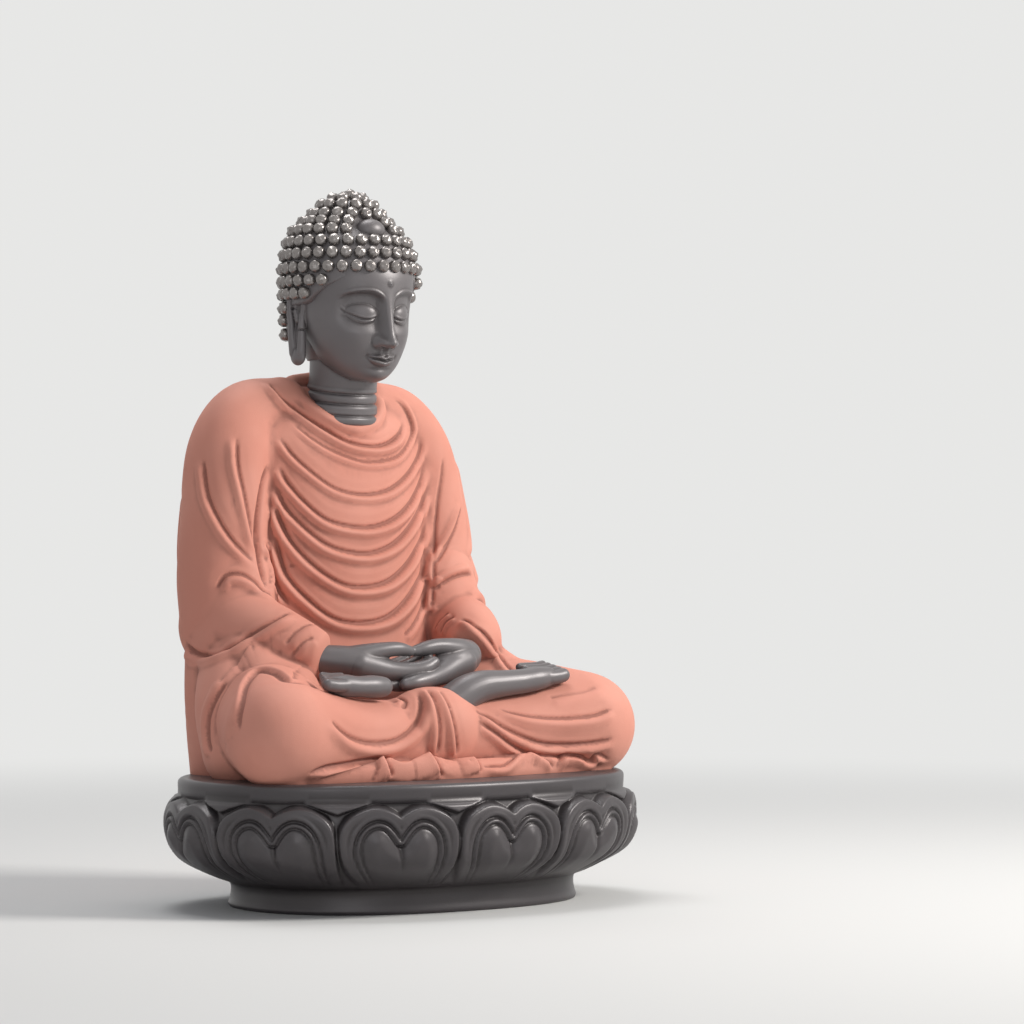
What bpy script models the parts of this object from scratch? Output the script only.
"""A seated ceramic Buddha on a lotus base, one casting: lengths in metres, +Z up, the figure facing -Y.

The shapes are drawn in millimetres in the figure's own proportions and brought to the driving sizes by Frame.
"""

import math

import bmesh
import bpy
import numpy as np
from mathutils import Euler, Vector
from mathutils.bvhtree import BVHTree

# Driving sizes
BASE_WIDTH = 0.255
BASE_DEPTH = 0.178
BASE_HEIGHT = 0.064
PLATE_THICKNESS = 0.009
FOOT_HEIGHT = 0.013
PETALS = 11
PETAL_RELIEF = 0.0042
KNEE_SPAN = 0.236
FIGURE_HEIGHT = 0.293
FIGURE_DEPTH = 0.135
HEAD_WIDTH = 0.063
CURL_WIDTH = 0.0064
CURL_HEIGHT = 0.0028
FOLD_DEPTH = 0.0017
HAND_THICKNESS = 0.0155
FOOT_THICKNESS = 0.0175
FOOT_RING_WALL = 0.010
FOOT_RECESS = 0.003

# The proportions that the shapes below are drawn in, in millimetres
DRAWN_KNEE_SPAN = 236.0
DRAWN_HEIGHT = 293.0
DRAWN_DEPTH = 135.0
DRAWN_HEAD_WIDTH = 63.0
DRAWN_BASE = 64.0
DRAWN_HAND = 15.5
DRAWN_FOOT = 17.5
DRAWN_PETAL_RELIEF = 4.2
MM = 0.001

# How fine each skin is modelled, in millimetres, and the triangles that it may keep
ROBE_VOXEL = 1.5
SKIN_VOXEL = 0.8
BASE_TRIANGLES = 3900
ROBE_TRIANGLES = 3900
SKIN_TRIANGLES = 3700
PETAL_COLUMNS = 34
PETAL_ROWS = 64

# The three-quarter view that the folds are drawn in: its picture is 1024 wide
VIEW_TURN = math.radians(38.5)
VIEW_DISTANCE = 2100.0
VIEW_HEIGHT = 194.25
VIEW_AXIS = 54.0
MM_PER_PIXEL = 0.5
PICTURE_CENTRE = 512.0


# Frames and small helpers
def scales():
    """The driving sizes over the drawn ones, along X, Y and Z."""
    return Vector((
        KNEE_SPAN / MM / DRAWN_KNEE_SPAN,
        FIGURE_DEPTH / MM / DRAWN_DEPTH,
        FIGURE_HEIGHT / MM / DRAWN_HEIGHT,
    ))


def seat(x, y, z):
    """A drawn point of the figure, in metres. Its heights start at the plate."""
    k = scales()
    return Vector((x * k.x * MM, y * k.y * MM, BASE_HEIGHT + z * k.z * MM))


def smooth_step(x):
    x = np.clip(x, 0.0, 1.0)
    return x * x * (3 - 2 * x)


def bell(x, width):
    return np.exp(-((x / width) ** 2))


def spline(rows, per=6):
    """A Catmull-Rom curve through rows of numbers."""
    p = np.array(rows, float)
    p = np.vstack([2 * p[0] - p[1], p, 2 * p[-1] - p[-2]])
    out = []
    for a, b, c, d in zip(p[:-3], p[1:-2], p[2:-1], p[3:]):
        for t in np.arange(per) / per:
            cubic = (3 * b - a - 3 * c + d) * t**3
            out.append(0.5 * (2 * b + (c - a) * t + (2 * a - 5 * b + 4 * c - d) * t * t + cubic))
    out.append(p[-2])
    return np.array(out)


def bridge(bm, rings, close=True):
    """Side faces between rings of points of one length, and a cap on each end."""
    count = len(rings[0])
    for low, high in zip(rings, rings[1:]):
        for k in range(count):
            bm.faces.new((low[k], low[(k + 1) % count], high[(k + 1) % count], high[k]))
    if close:
        bm.faces.new(rings[0][::-1])
        bm.faces.new(rings[-1])


def finish(name, bm):
    bmesh.ops.recalc_face_normals(bm, faces=bm.faces[:])
    mesh = bpy.data.meshes.new(name)
    bm.to_mesh(mesh)
    bm.free()
    obj = bpy.data.objects.new(name, mesh)
    bpy.context.scene.collection.objects.link(obj)
    return obj


def apply_modifiers(obj):
    bpy.context.view_layer.update()
    graph = bpy.context.evaluated_depsgraph_get()
    made = bpy.data.meshes.new_from_object(obj.evaluated_get(graph))
    obj.modifiers.clear()
    old = obj.data
    obj.data = made
    bpy.data.meshes.remove(old)


def melt(obj, voxel, rounds):
    """Closes the overlapping shapes of one object into one skin."""
    remesh = obj.modifiers.new("Skin", "REMESH")
    remesh.mode = "VOXEL"
    remesh.voxel_size = voxel * MM
    if rounds:
        smooth = obj.modifiers.new("Ease", "SMOOTH")
        smooth.factor = 0.5
        smooth.iterations = rounds
    apply_modifiers(obj)


def thin_out(obj, triangles):
    """Brings the mesh to a number of triangles, the fewest where the surface is flat."""
    obj.data.calc_loop_triangles()
    decimate = obj.modifiers.new("Fewer", "DECIMATE")
    decimate.ratio = min(1.0, triangles / len(obj.data.loop_triangles))
    decimate.use_collapse_triangulate = True
    apply_modifiers(obj)


def points_of(obj):
    co = np.empty(len(obj.data.vertices) * 3)
    obj.data.vertices.foreach_get("co", co)
    return co.reshape(-1, 3)


def normals_of(obj):
    no = np.empty(len(obj.data.vertices) * 3, np.float32)
    obj.data.vertex_normals.foreach_get("vector", no)
    return no.reshape(-1, 3).astype(float)


def move_points(obj, co):
    obj.data.vertices.foreach_set("co", co.ravel())
    obj.data.update()


# Masses
def limb(bm, rows, place, around=20, squash=1.0, tilt=0.0, per=5):
    """A round-ended tube.

    The rows hold x, y, z and radius. squash is the height over the width of its section.
    """
    s = spline(rows, per)
    middle, radius = s[:, :3], s[:, 3]
    along = np.gradient(middle, axis=0)
    along /= np.linalg.norm(along, axis=1)[:, None]
    ends = np.radians([78, 55, 30])
    head = [(middle[0] - along[0] * radius[0] * math.sin(a), radius[0] * math.cos(a), along[0]) for a in ends]
    far, thick, way = middle[-1], radius[-1], along[-1]
    tail = [(far + way * thick * math.sin(a), thick * math.cos(a), way) for a in ends[::-1]]
    rings = []
    for centre, r, t in head + list(zip(middle, radius, along)) + tail:
        t = Vector(t)
        side = t.cross(Vector((0, math.sin(tilt), math.cos(tilt))))
        if side.length < 0.05:
            side = t.cross(Vector((0, 1, 0)))
        side.normalize()
        top = side.cross(t).normalized()
        ring = []
        for k in range(around):
            a = 2 * math.pi * k / around
            at = Vector(centre) + side * (r * math.cos(a)) + top * (r * squash * math.sin(a))
            ring.append(bm.verts.new(place(*at)))
        rings.append(ring)
    bridge(bm, rings)


def ball(bm, centre, radii, place, tilt=(0, 0, 0), segments=28):
    """An ellipsoid, tilted by degrees about X, Y and Z."""
    turn = Euler([math.radians(a) for a in tilt]).to_matrix()
    made = bmesh.ops.create_uvsphere(bm, u_segments=segments, v_segments=segments * 5 // 8, radius=1)
    for vert in made["verts"]:
        at = Vector(centre) + turn @ Vector(c * r for c, r in zip(vert.co, radii))
        vert.co = place(*at)


def stack(bm, rows, place, around=56, per=4):
    """Stacked oval sections. rows hold z, centre y, half width, depth to the front and depth to the back."""
    rings = []
    for z, cy, half, front, back in spline(rows, per):
        ring = []
        for k in range(around):
            a = 2 * math.pi * k / around
            y = math.sin(a) * (back if math.sin(a) > 0 else front)
            ring.append(bm.verts.new(place(half * math.cos(a), cy + y, z)))
        rings.append(ring)
    bridge(bm, rings)


# Lotus base
OVAL_POWER = 2.25
PETAL_HALF = 32.0
PETAL_OUTLINE = [
    (0, 6), (20, 8), (26, 14), (30, 23), (31.6, 33), (31, 41), (27.5, 47.5), (21, 52), (14, 54), (8, 53.4),
    (3, 51.3),
    (0, 49.4),
]
HEART_OUTLINE = [
    (0, 8), (17, 9), (20.5, 16), (23, 25), (23.6, 33), (21.5, 40), (17, 44.6), (11.5, 46.2), (6.5, 44.8),
    (2.5, 41),
    (0, 37.5),
]
BODY_PROFILE = [
    (13, 0.745), (15, 0.79), (19, 0.855), (24, 0.915), (30, 0.955), (38, 0.975), (46, 0.975), (54, 0.955),
]
BODY_LOW, BODY_HIGH = BODY_PROFILE[0][0], BODY_PROFILE[-1][0]
FOOT_PROFILE = [(0, 0.728), (0.09, 0.735), (0.5, 0.722), (0.94, 0.725), (1, 0.745)]


def oval_points(count):
    """Places round the base at equal lengths of its edge, from the front, and their outward directions."""
    fine = np.linspace(0, 2 * np.pi, 7201)
    power = 2 / OVAL_POWER
    x = BASE_WIDTH / 2 / MM * np.sign(np.sin(fine)) * np.abs(np.sin(fine)) ** power
    y = -BASE_DEPTH / 2 / MM * np.sign(np.cos(fine)) * np.abs(np.cos(fine)) ** power
    edge = np.concatenate([[0], np.cumsum(np.hypot(np.diff(x), np.diff(y)))])
    at = np.linspace(0, edge[-1], count, endpoint=False)
    place = np.stack([np.interp(at, edge, x), np.interp(at, edge, y)], 1)
    along = np.roll(place, -1, 0) - np.roll(place, 1, 0)
    along /= np.linalg.norm(along, axis=1)[:, None]
    return place, np.stack([along[:, 1], -along[:, 0]], 1)


def outline_distance(s, z, outline):
    """The distance inside (positive) or outside (negative) of a mirrored outline."""
    half = spline(outline, 6)
    loop = np.vstack([half, half[-2:0:-1] * (-1, 1)])
    best = np.full(s.shape, 1e9)
    inside = np.zeros(s.shape, bool)
    for (ax, az), (bx, bz) in zip(loop, np.roll(loop, -1, 0)):
        dx, dz = bx - ax, bz - az
        t = np.clip(((s - ax) * dx + (z - az) * dz) / max(dx * dx + dz * dz, 1e-9), 0, 1)
        best = np.minimum(best, np.hypot(s - ax - t * dx, z - az - t * dz))
        if dz:
            crosses = (az > z) != (bz > z)
            inside ^= crosses & (s < dx * (z - az) / dz + ax)
    return np.where(inside, best, -best)


def petal_height(s, z):
    """How far the petals stand out, in millimetres, at place s from a petal's middle and height z."""
    rim = outline_distance(s, z, PETAL_OUTLINE)
    heart = outline_distance(s, z, HEART_OUTLINE)
    low = smooth_step((z - 12) / 14)
    lip = 2.3 * smooth_step((rim + 0.2) / 1.5) - 0.8 * smooth_step((rim - 2.5) / 4)
    lines = -1.35 * bell(heart, 0.95) - 1.1 * bell(heart - 3.1, 0.85) + 0.45 * bell(heart - 1.6, 0.8)
    belly = 1.9 * smooth_step((heart - 3.4) / 7)
    seam = -1.5 * bell(s, 1.7) * smooth_step((z - 16) / 18) * (heart > 2.5)
    between = PETAL_HALF - np.abs(s)
    edge = 49.0 + 0.42 * between
    recess = -2.7 * (1 - smooth_step((rim + 1.6) / 1.6)) * (1 - smooth_step((z - edge) / 1.2))
    tip = 2.0 * bell(z - edge, 1.3) * (1 - smooth_step((rim + 1.5) / 1.5)) * (between < 14)
    return (lip + lines + belly + seam) * low * (rim > -0.3) + recess * low + tip


def base_profile():
    """Rows of height and of the oval's scale for the foot, the bowl and the plate's rim, without the petals."""
    foot_top = FOOT_HEIGHT / MM
    top = BASE_HEIGHT / MM
    wall_foot = top - PLATE_THICKNESS / MM
    rise = (wall_foot - foot_top) / (BODY_HIGH - BODY_LOW)
    foot = []
    for (low, near), (high, far) in zip(FOOT_PROFILE, FOOT_PROFILE[1:]):
        foot += [(foot_top * (low + (high - low) * t), near + (far - near) * t) for t in (0, 1 / 3, 2 / 3)]
    bowl = spline([(foot_top + (z - BODY_LOW) * rise, k) for z, k in BODY_PROFILE], 8)
    edge = np.concatenate([[0], np.cumsum(np.hypot(np.diff(bowl[:, 0]), 110 * np.diff(bowl[:, 1])))])
    steps = np.linspace(0, edge[-1], PETAL_ROWS)
    bowl = np.stack([np.interp(steps, edge, bowl[:, 0]), np.interp(steps, edge, bowl[:, 1])], 1)
    rim = [(wall_foot + 0.4, 0.938), (top - 3.0, 0.940), (top - 1.6, 0.937), (top - 0.5, 0.928), (top, 0.915)]
    return foot, bowl, rim, BODY_LOW + (bowl[:, 0] - foot_top) / rise


def base_object():
    """The lotus base: foot ring, petals, back petals' tips and the plate with its rounded rim."""
    count = PETALS * PETAL_COLUMNS
    place, outward = oval_points(count)
    foot, bowl, rim, drawn = base_profile()
    s = ((np.arange(count) / PETAL_COLUMNS + 0.5) % 1 - 0.5) * 2 * PETAL_HALF
    relief = petal_height(*np.meshgrid(s, drawn)) * (PETAL_RELIEF / MM / DRAWN_PETAL_RELIEF)
    bm = bmesh.new()
    ring_inside = place * foot[0][1] - outward * (FOOT_RING_WALL / MM)
    levels = [(FOOT_RECESS / MM, ring_inside), (0, ring_inside)]
    levels += [(z, place * k) for z, k in foot]
    levels += [(z, place * k + outward * lift[:, None]) for (z, k), lift in zip(bowl, relief)]
    levels += [(z, place * k) for z, k in rim]
    bridge(bm, [[bm.verts.new((x * MM, y * MM, z * MM)) for x, y in at] for z, at in levels])
    return finish("base", bm)


# Robe
SIDES = (-1, 1)
ARM_LEAN = {-1: -2.0, 1: 1.5}
TORSO = [
    (-6, 44, 84, 34, 34), (26, 50, 76, 34, 32), (51, 57, 62, 29, 28), (86, 61, 55, 28, 27),
    (126, 64, 55, 30, 24),
    (151, 67, 57, 30, 21), (170, 67, 55, 28, 20), (182, 66, 47, 24, 19), (191, 64, 36, 17, 17),
    (198, 64, 26, 10, 14),
]
COLLAR = [(0, 41, 174, 4), (16, 45, 179, 4), (25, 57, 187, 4.2), (17, 74, 194, 4.2), (0, 80, 196, 4.4)]


def mirrored(rows, side, lean=0.0):
    """Rows of a limb for one side, moved sideways by its lean."""
    return [(side * r[0] + lean,) + tuple(r[1:]) for r in rows]


def robe_masses(bm):
    stack(bm, TORSO, seat)
    for side in SIDES:
        lean = ARM_LEAN[side]
        shoulder = [
            (26, 66, 185, 13), (44, 69, 178, 17), (56, 68, 160, 20.5), (61, 66, 130, 22), (64, 64, 100, 23),
        ]
        shoulder.append((66, 59, 76, 22.5))
        forearm = [(66, 60, 74, 22.5), (63, 42, 68, 20.5), (57, 22, 63, 17.5), (49, 8, 60, 13.5)]
        limb(bm, mirrored(shoulder, side, lean), seat)
        limb(bm, mirrored(forearm, side, lean), seat, squash=1.1)
        limb(bm, mirrored([(68, 53, 66, 24), (73, 50, 36, 21), (73, 47, 2, 20)], side), seat)
        limb(bm, mirrored([(46, 45, 28, 31), (72, 12, 27, 29), (93, -24, 23, 26.5)], side), seat)
        limb(bm, mirrored([(93, -27, 22, 27), (52, -24, 17, 22.5), (0, -20, 16, 21)], side), seat)
        limb(bm, mirrored([(94, -36, 3, 9), (60, -42, 2, 7), (25, -47, 2, 7), (0, -49, 2, 7)], side), seat)
        limb(bm, mirrored(COLLAR, side), seat, per=8)
    ball(bm, (-4, -27, 21), (31, 19, 23), seat)
    limb(bm, [(64, 30, 52, 18), (72, 14, 44, 15), (80, -4, 38, 12)], seat)
    limb(bm, [(-70, 34, 56, 19), (-72, 18, 46, 17), (-66, 2, 42, 13)], seat)


# Folds: each is a strength, a width in millimetres and points of the three-quarter view
CHEST_FOLDS = [
    (1.3, 1.9, [(268, 381), (280, 396), (300, 413), (326, 430), (349, 442), (372, 446), (386, 443),
        (397, 436)]),
    (0.6, 1.5, [(291, 422), (314, 440), (337, 453), (366, 462), (392, 459), (403, 447), (405, 427),
        (399, 407)]),
    (0.8, 1.9, [(278, 435), (291, 453), (308, 469), (331, 486), (351, 493), (372, 494), (392, 488),
        (409, 470), (419, 450)]),
    (1.0, 2.1, [(278, 465), (288, 483), (306, 503), (326, 519), (349, 526), (372, 527), (394, 519),
        (412, 502), (425, 475)]),
    (1.1, 2.2, [(275, 485), (285, 506), (303, 526), (326, 544), (349, 552), (372, 553), (394, 543),
        (415, 523), (432, 485)]),
    (1.2, 2.3, [(275, 500), (281, 522), (294, 545), (317, 568), (343, 584), (366, 587), (389, 581),
        (409, 562), (434, 508)]),
    (1.2, 2.4, [(274, 533), (280, 556), (288, 577), (308, 599), (334, 618), (360, 623), (386, 618),
        (406, 601), (429, 556)]),
    (0.8, 2.0, [(265, 542), (270, 565), (278, 588), (290, 606)]),
]
ARM_FOLDS = [
    (1.6, 2.6, [(268, 462), (262, 490), (258, 519), (258, 542), (261, 565), (266, 588)]),
    (0.9, 2.0, [(203, 456), (205, 479), (209, 499), (220, 522), (234, 542), (257, 565)]),
    (0.9, 2.0, [(237, 435), (238, 465), (244, 493), (250, 522), (257, 554)]),
    (0.9, 2.2, [(218, 588), (225, 575), (240, 574), (254, 581), (265, 592), (283, 602), (297, 611)]),
    (1.6, 2.6, [(185, 642), (194, 652), (211, 655), (228, 648), (251, 634), (274, 620), (294, 611),
        (308, 617)]),
    (0.8, 2.0, [(285, 645), (294, 634), (306, 625), (317, 624)]),
    (0.7, 2.0, [(291, 657), (303, 643), (314, 637)]),
    (1.7, 2.6, [(239, 734), (238, 720), (241, 703), (245, 686), (254, 674), (265, 671), (277, 674),
        (288, 681), (308, 683)]),
    (0.9, 2.4, [(228, 680), (217, 697), (209, 717), (208, 740), (212, 754)]),
    (0.9, 1.9, [(444, 452), (443, 475), (438, 500), (435, 530), (434, 560), (433, 590), (430, 620),
        (428, 640)]),
    (0.8, 1.9, [(462, 506), (455, 529), (445, 548), (434, 566)]),
    (0.9, 1.9, [(478, 577), (468, 574), (455, 577), (443, 583), (433, 591)]),
    (1.0, 2.2, [(461, 619), (475, 625), (487, 637), (496, 649), (506, 664), (516, 674)]),
]
LAP_FOLDS = [
    (1.2, 2.6, [(329, 717), (339, 728), (352, 738), (368, 743), (384, 743), (397, 740), (409, 732),
        (417, 721), (419, 700)]),
    (1.0, 2.0, [(426, 686), (434, 701), (439, 717), (440, 736), (437, 757)]),
    (1.0, 2.0, [(438, 687), (448, 703), (454, 721), (457, 740), (458, 760)]),
    (0.8, 1.8, [(397, 697), (405, 701), (403, 709)]),
    (1.3, 1.8, [(306, 776), (325, 769), (349, 765), (368, 761), (384, 761), (401, 765), (424, 761),
        (461, 761)]),
    (1.2, 1.8, [(372, 761), (380, 763), (386, 769), (390, 776)]),
    (1.2, 1.8, [(422, 760), (430, 762), (436, 768), (441, 776)]),
    (1.0, 1.8, [(481, 767), (494, 766), (504, 765), (514, 757), (524, 755), (533, 757), (547, 761),
        (555, 769)]),
    (1.0, 1.8, [(555, 769), (562, 755), (576, 755), (590, 761), (597, 754), (611, 761)]),
    (0.9, 2.2, [(495, 708), (524, 715), (550, 718), (572, 718), (596, 715), (615, 707)]),
    (1.2, 2.4, [(473, 710), (489, 717), (506, 728), (526, 738), (545, 744), (572, 745), (596, 743),
        (617, 738)]),
    (1.0, 2.0, [(477, 721), (494, 732), (514, 746), (533, 754), (562, 756), (592, 755)]),
    (0.8, 2.0, [(562, 695), (582, 693), (596, 689)]),
]
# The back's folds are drawn straight on, as x and height
BACK_FOLDS = [
    (1.0, 2.4, [(-40, 170), (-10, 150), (20, 142), (46, 150)]),
    (1.0, 2.4, [(-48, 146), (-14, 118), (20, 108), (52, 122)]),
    (1.0, 2.4, [(-54, 112), (-18, 82), (20, 74), (56, 88)]),
    (1.0, 2.4, [(-60, 76), (-20, 48), (20, 40), (62, 52)]),
]


def seen_ray(px, py, depth):
    """A parallel ray of the three-quarter view through a point of its picture, at this depth."""
    near = 1 + depth / VIEW_DISTANCE
    across = VIEW_AXIS + (px - PICTURE_CENTRE) * MM_PER_PIXEL * near
    height = VIEW_HEIGHT - (py - PICTURE_CENTRE) * MM_PER_PIXEL * near - DRAWN_BASE
    away = Vector((math.sin(VIEW_TURN), math.cos(VIEW_TURN), 0))
    start = Vector((math.cos(VIEW_TURN), -math.sin(VIEW_TURN), 0)) * across - away * 400
    begin = seat(start.x, start.y, height)
    end = seat(start.x + away.x, start.y + away.y, height)
    return begin, (end - begin).normalized()


def drawn_depth(hit):
    k = scales()
    return hit.x / k.x / MM * math.sin(VIEW_TURN) + hit.y / k.y / MM * math.cos(VIEW_TURN)


def land_seen(tree, points):
    """The places on the robe under a line of the three-quarter view."""
    out = []
    for px, py in spline(points, 8):
        hit, depth = None, 0.0
        for _ in range(3):
            found = tree.ray_cast(*seen_ray(px, py, depth))[0]
            if found is None:
                break
            hit, depth = found, drawn_depth(found)
        if hit is not None:
            out.append(hit)
    return out


def land_behind(tree, points):
    out = []
    for x, z in spline(points, 8):
        hit = tree.ray_cast(seat(x, 400, z), Vector((0, -1, 0)))[0]
        if hit is not None:
            out.append(hit)
    return out


def carve(co, no, tree, line, strength, width):
    """The shift of each point for one fold: a narrow crease with a rounded ridge beside it."""
    lift = np.zeros(len(co))
    if len(line) < 4:
        return lift
    line = np.array(line)
    along = np.gradient(line, axis=0)
    along /= np.linalg.norm(along, axis=1)[:, None] + 1e-12
    face = np.array([tree.find_nearest(Vector(p))[1] for p in line])
    side = np.cross(along, face)
    reach = 5 * width * MM
    low, high = line.min(0) - reach, line.max(0) + reach
    near = np.flatnonzero(((co > low) & (co < high)).all(1))
    if not len(near):
        return lift
    gap = co[near][:, None, :] - line[None]
    which = (gap**2).sum(2).argmin(1)
    gap = gap[np.arange(len(near)), which]
    off = (gap * side[which]).sum(1) / MM
    past = np.abs((gap * along[which]).sum(1)) / MM
    steep = (no[near] * face[which]).sum(1)
    share = which / (len(line) - 1)
    taper = smooth_step(share / 0.16) * smooth_step((1 - share) / 0.16)
    fade = taper * smooth_step((steep - 0.1) / 0.3) * bell(np.maximum(past - 1.5, 0), 2.0)
    shape = -bell(off, width * 0.62) + 0.95 * bell(off - 1.75 * width, 1.15 * width)
    lift[near] = strength * FOLD_DEPTH * shape * fade
    return lift


def robe_object(rounds):
    bm = bmesh.new()
    robe_masses(bm)
    robe = finish("robe", bm)
    melt(robe, ROBE_VOXEL, rounds)
    tree = BVHTree.FromPolygons([v.co for v in robe.data.vertices], [p.vertices for p in robe.data.polygons])
    co, no = points_of(robe), normals_of(robe)
    lift = np.zeros(len(co))
    for strength, width, points in CHEST_FOLDS + ARM_FOLDS + LAP_FOLDS:
        lift += carve(co, no, tree, land_seen(tree, points), strength, width)
    for strength, width, points in BACK_FOLDS:
        lift += carve(co, no, tree, land_behind(tree, points), strength, width)
    move_points(robe, co + no * lift[:, None])
    return robe


# Head
SKULL = [
    (-41, -17, 7, 7, 9), (-38.5, -14.5, 13, 12.8, 15), (-33.5, -11, 19, 18.4, 22), (-26, -7, 23.6, 23.4, 27),
    (-17, -3.5, 26.4, 27.4, 31), (-6, 0, 27.5, 31, 31), (4, 0, 28, 30.5, 30), (12, 0, 27, 28, 28.5),
    (20, 0, 22, 21, 24), (28, 0, 12, 12, 13),
]
FACE_BOW = math.radians(12)
FACE_RISE = 4.5
HAIR = [
    (-30, 6, 22, 10, 24), (-24, 5, 27, 16, 28), (-14, 3.5, 29.6, 24, 30.5), (0, 2.5, 31, 30.5, 31.5),
    (10, 2.5, 31.4, 31.4, 32), (17, 3, 30.6, 29.6, 31), (24, 3.5, 28.6, 25.5, 29), (28.5, 4, 26.6, 21, 26.5),
    (32, 4.2, 23.2, 17.4, 23.2), (35.6, 4.3, 18.6, 15.2, 18.4), (39.8, 4.3, 14.4, 12.6, 14.2),
    (43.2, 4.3, 10.4, 9.6, 10.4), (45.0, 4.3, 6.2, 5.8, 6.2), (46.3, 4.3, 1.6, 1.6, 1.6),
]
CURL_SPACING, ROW_SPACING = 1.03, 0.9
BOSS_CENTRE, BOSS_RADII, BOSS_CLEAR = (0, -11.6, 32.5), (6.4, 5.2, 4.6), 7.6
NOSE = [(-26, 0), (-24.5, 2.0), (-22.5, 7.2), (-20, 7.8), (-15, 5.6), (-9, 3.2), (-4, 1.8), (2, 0.8), (8, 0)]
HAIRLINE = [(0, 9.6), (40, 9.2), (56, 5), (68, -1), (80, -6), (95, -16), (120, -22), (180, -24)]


def at_head(x, y, z):
    """A point of the head's own frame. The head keeps its seat on the neck when its size changes."""
    k = HEAD_WIDTH / MM / DRAWN_HEAD_WIDTH
    neck = seat(0, 46.5, 199.6)
    return neck + Vector((x * 1.06, (y - 3) * 1.05, (z + 37) * 1.09)) * (k * MM)


def face_height(x, z):
    """How far a calm, plain face stands out of the head's oval, in millimetres."""
    heights = np.array(NOSE)
    nose = np.interp(z, heights[:, 0], heights[:, 1]) * bell(x, np.interp(z, [-22, -4], [4.6, 2.8]))
    eye = np.abs(x) - 11.5
    socket = -1.8 * bell(eye, 8.5) * bell(z + 4.5, 5)
    lids = 2.3 * bell(eye, 6.4) * bell(z + 7.5, 3.4)
    brow = 0.8 * bell(z - 1.5 + 0.012 * (np.abs(x) - 9) ** 2, 1.6) * smooth_step((np.abs(x) - 1) / 4)
    brow = brow * (1 - smooth_step((np.abs(x) - 18) / 5))
    lips = 1.4 * bell(z + 26.9, 1.5) * bell(x, 6.2) + 1.6 * bell(z + 31, 1.7) * bell(x, 5.2)
    mouth = -1.1 * bell(z + 28.9, 0.7) * bell(x, 7.6)
    chin = 1.4 * bell(x, 6.5) * bell(z + 37, 3.6)
    return nose + socket + lids + brow + lips + mouth + chin


def on_face(x, y, z):
    """A point of the face's own frame, which bows forward in the head's, raised by the face's shape."""
    front = float(smooth_step((-y - 8) / 10))
    y -= float(face_height(np.array(x), np.array(z))) * front
    bow, rise = math.sin(FACE_BOW), math.cos(FACE_BOW)
    return at_head(x, y * rise - z * bow, z * rise + y * bow + FACE_RISE)


def hair_point(step, turn):
    """A point of the hair's surface: step counts along HAIR's curve, turn goes round from the front."""
    z, centre, half, front, back = step
    return Vector((half * math.sin(turn), centre - (front if math.cos(turn) > 0 else back) * math.cos(turn),
        z))


def curl_places():
    """Where each curl sits on the hair, with the way that it points, in rows from the nape to the top."""
    pitch = CURL_WIDTH / MM / (HEAD_WIDTH / MM / DRAWN_HEAD_WIDTH) * CURL_SPACING
    curve = spline(HAIR, 24)
    edge = np.concatenate([[0], np.cumsum(np.hypot(np.diff(curve[:, 0]), np.diff(curve[:, 2])))])
    rows = round(edge[-1] / pitch / ROW_SPACING)
    places = []
    for row in range(rows + 1):
        k = int(np.searchsorted(edge, edge[-1] * row / rows))
        here, above = curve[min(k, len(curve) - 2)], curve[min(k, len(curve) - 2) + 1]
        count = max(1, round(math.pi * (here[2] + (here[3] + here[4]) / 2) / pitch))
        if here[2] < pitch / 2:
            places.append((hair_point(here, 0), Vector((0, 0, 1))))
            continue
        for number in range(count):
            turn = 2 * math.pi * (number + 0.5 * (row % 2)) / count
            at = hair_point(here, turn)
            normal = (hair_point(here, turn + 0.01) - at).cross(hair_point(above, turn) - at).normalized()
            if keeps_curl(at):
                places.append((at, normal))
    return places


def keeps_curl(at):
    turn = math.degrees(abs(math.atan2(at.x, -(at.y - HAIR[3][1]))))
    line = np.array(HAIRLINE)
    return at.z > np.interp(turn, line[:, 0],
        line[:, 1]) + 1.5 and (at - Vector(BOSS_CENTRE)).length > BOSS_CLEAR


def curl(bm, at, normal, around=8):
    """One snail curl as a low dome."""
    size = CURL_WIDTH / MM / 2 / (HEAD_WIDTH / MM / DRAWN_HEAD_WIDTH)
    high = CURL_HEIGHT / MM / (HEAD_WIDTH / MM / DRAWN_HEAD_WIDTH)
    turn = normal.to_track_quat("Z", "Y")
    rings = []
    for lift in np.radians([-40, 0, 35, 65]):
        ring = []
        for k in range(around):
            a = 2 * math.pi * k / around
            out = size * 1.02 * math.cos(lift)
            local = Vector((out * math.cos(a), out * math.sin(a), (high + 1) * math.sin(lift)))
            ring.append(bm.verts.new(at_head(*(at - normal * 0.6 + turn @ local))))
        rings.append(ring)
    bridge(bm, rings)


def hair_cap(bm, around=64, per=4):
    """The hair under the curls, drawn in under the face's skin below the hairline."""
    line = np.array(HAIRLINE)
    rings = []
    for row in spline(HAIR, per):
        ring = []
        for k in range(around):
            turn = 2 * math.pi * k / around
            edge = np.interp(math.degrees(min(turn, 2 * math.pi - turn)), line[:, 0], line[:, 1])
            under = float(smooth_step((edge - row[0]) / 2.0))
            at = hair_point(row, turn)
            middle = Vector((0, row[1], row[0]))
            ring.append(bm.verts.new(at_head(*at.lerp(middle, 0.18 * under))))
        rings.append(ring)
    bridge(bm, rings)


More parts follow.
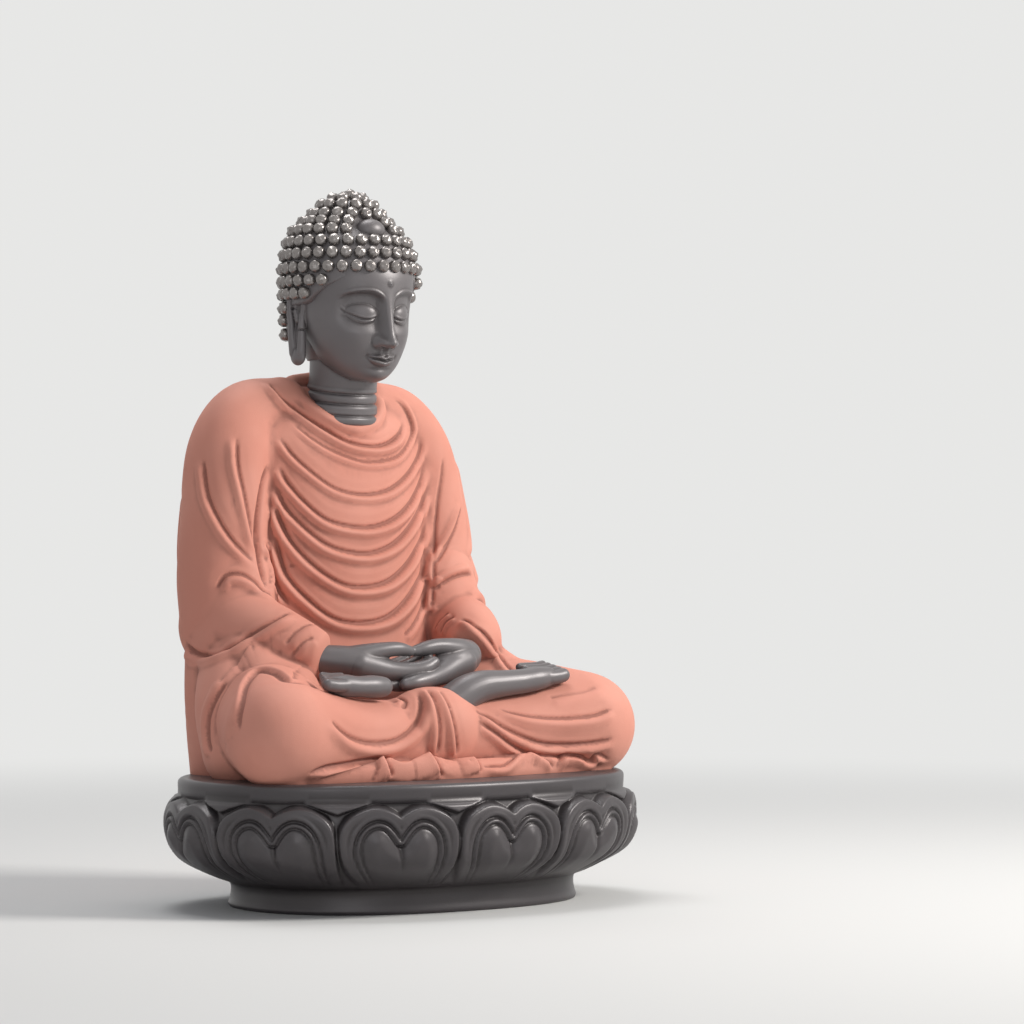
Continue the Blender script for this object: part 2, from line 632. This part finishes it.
def head_masses(bm):
    stack(bm, SKULL, on_face, around=72, per=6)
    hair_cap(bm)
    ball(bm, BOSS_CENTRE, BOSS_RADII, at_head)
    for at, normal in curl_places():
        curl(bm, at, normal)
    for side in SIDES:
        ear = [(27.5, 5.5, 2, 3.2), (28.6, 6.5, -8, 4.2), (28.4, 6.5, -17, 3.4), (28, 6, -24, 3.4),
            (27.4, 5.5, -29, 2.8)]
        limb(bm, mirrored(ear, side), at_head, squash=1.0)


def neck_masses(bm):
    rows = [(0, 61, 160, 24), (0, 58, 172, 21.5), (0, 55, 181, 19), (0, 53.5, 186, 17.2), (0, 52.5, 189, 18)]
    rows += [(0, 51.5, 193, 17), (0, 51, 196, 17.8), (0, 50, 200, 17), (0, 49, 208, 18), (0, 48, 216, 18)]
    limb(bm, rows, seat, around=32, per=5)


# Hands and feet
def hand_masses(bm):
    thick = HAND_THICKNESS / MM / DRAWN_HAND
    right = [
        [(-58, 8, 59, 8.5), (-46, 2, 57.5, 8), (-34, -3, 56.5, 8.6), (-22, -7, 54.5, 8.6),
            (-13, -9, 53.5, 7)],
        [(-26, -9, 59, 5.2), (-16, -10, 61.5, 4.4), (-8, -9.5, 62, 3.7), (-2, -8, 61, 3)],
        [(-15, -11, 52.5, 4.6), (-4, -14, 51.5, 4), (4, -15, 54, 3.5), (8, -14.5, 56.5, 2.8)],
        [(-15, -5, 52, 4.6), (-3, -7, 51, 4.2), (6, -8, 54, 3.6), (10, -8, 57, 3)],
        [(-16, 1, 52, 4.6), (-4, 0, 51, 4.2), (5, 0, 54, 3.6), (9, 0, 57, 3)],
    ]
    left = [
        [(58, 8, 57, 9), (46, 2, 56, 9.5), (35, -4, 55, 10), (25, -9, 52, 8.6), (15, -12, 49.5, 7)],
        [(34, -6, 60, 5.5), (22, -9, 63.5, 4.6), (12, -10, 63.5, 3.9), (3, -8.5, 61, 3)],
        [(22, -14, 48, 5), (8, -19, 45, 4.4), (-5, -21, 43.5, 4), (-15, -20, 44, 3.2)],
        [(22, -8, 47, 5), (6, -11, 44, 4.6), (-8, -12, 42.5, 4.2), (-19, -11, 43, 3.4)],
        [(22, -1, 47, 5), (6, -3, 44, 4.6), (-8, -4, 42.5, 4.2), (-18, -3, 43, 3.4)],
    ]
    for rows in right + left:
        limb(bm, [(x, y, z, r * thick) for x, y, z, r in rows], seat, around=16, squash=0.92)


def foot_masses(bm):
    thick = FOOT_THICKNESS / MM / DRAWN_FOOT
    soles = [
        [(8, -22, 38, 9.5), (15, -27, 39.5, 8.6), (29, -31, 41, 8), (45, -33, 43, 7.8), (59, -34, 44.5, 7.6),
         (68, -34, 45.5, 6)],
        [(2, -34, 30, 8), (12, -34, 33, 8), (24, -33, 38, 7.5)],
        [(-22, -34, 42, 7.6), (-36, -34, 43, 7), (-50, -32, 43.5, 7.2), (-62, -29, 44, 6.8)],
    ]
    for rows in soles:
        limb(bm, [(x, y, z, r * thick) for x, y, z, r in rows], seat, around=18, squash=0.9)
    for toe in range(5):
        near = (71 - 1.2 * toe, -38 + 4.0 * toe, 45.5 + 1.2 * toe, (4.2 - 0.45 * toe) * thick)
        far = (75 - 1.8 * toe, -38 + 4.0 * toe, 47.5 + 1.0 * toe, (3.6 - 0.4 * toe) * thick)
        limb(bm, [(near[0] - 8, near[1], near[2] - 1, near[3]), near, far], seat, around=10)
    for toe in range(5):
        near = (-66 + 1.2 * toe, -35 + 3.6 * toe, 44.5 + 1.0 * toe, (3.9 - 0.4 * toe) * thick)
        far = (-72 + 1.8 * toe, -36 + 3.6 * toe, 44.5 + 1.2 * toe, (3.4 - 0.35 * toe) * thick)
        limb(bm, [(near[0] + 8, near[1], near[2], near[3]), near, far], seat, around=10)


def skin_object(rounds):
    bm = bmesh.new()
    head_masses(bm)
    neck_masses(bm)
    hand_masses(bm)
    foot_masses(bm)
    skin = finish("skin", bm)
    melt(skin, SKIN_VOXEL, rounds)
    return skin


# One casting
def clay():
    material = bpy.data.materials.new("dark_grey_clay")
    material.use_nodes = True
    shader = material.node_tree.nodes["Principled BSDF"]
    shader.inputs["Base Color"].default_value = (0.09, 0.08, 0.08, 1)
    shader.inputs["Roughness"].default_value = 0.45
    shader.inputs["Metallic"].default_value = 0.0
    return material


def join_by(obj, other, operation):
    boolean = obj.modifiers.new(operation.title(), "BOOLEAN")
    boolean.solver = "EXACT"
    boolean.operation = operation
    boolean.object = other
    apply_modifiers(obj)


def fill_voids(obj):
    """Keeps the outer skin: the skins of voids between the shapes are taken out, so clay fills them."""
    bm = bmesh.new()
    bm.from_mesh(obj.data)
    left = set(bm.verts)
    skins = []
    while left:
        found, open_ends = set(), [left.pop()]
        while open_ends:
            vert = open_ends.pop()
            found.add(vert)
            for edge in vert.link_edges:
                other = edge.other_vert(vert)
                if other in left:
                    left.discard(other)
                    open_ends.append(other)
        skins.append(found)
    outer = max(skins, key=len)
    bmesh.ops.delete(bm, geom=[v for skin in skins if skin is not outer for v in skin], context="VERTS")
    bm.to_mesh(obj.data)
    bm.free()


def main():
    for old in list(bpy.data.objects):
        bpy.data.objects.remove(old)
    statue = base_object()
    thin_out(statue, BASE_TRIANGLES)
    robe = robe_object(6)
    thin_out(robe, ROBE_TRIANGLES)
    skin = skin_object(1)
    thin_out(skin, SKIN_TRIANGLES)
    join_by(statue, robe, "UNION")
    join_by(statue, skin, "UNION")
    fill_voids(statue)
    for helper in (robe, skin):
        bpy.data.objects.remove(helper)
    statue.name = "buddha_statue"
    statue.data.materials.clear()
    statue.data.materials.append(clay())


main()
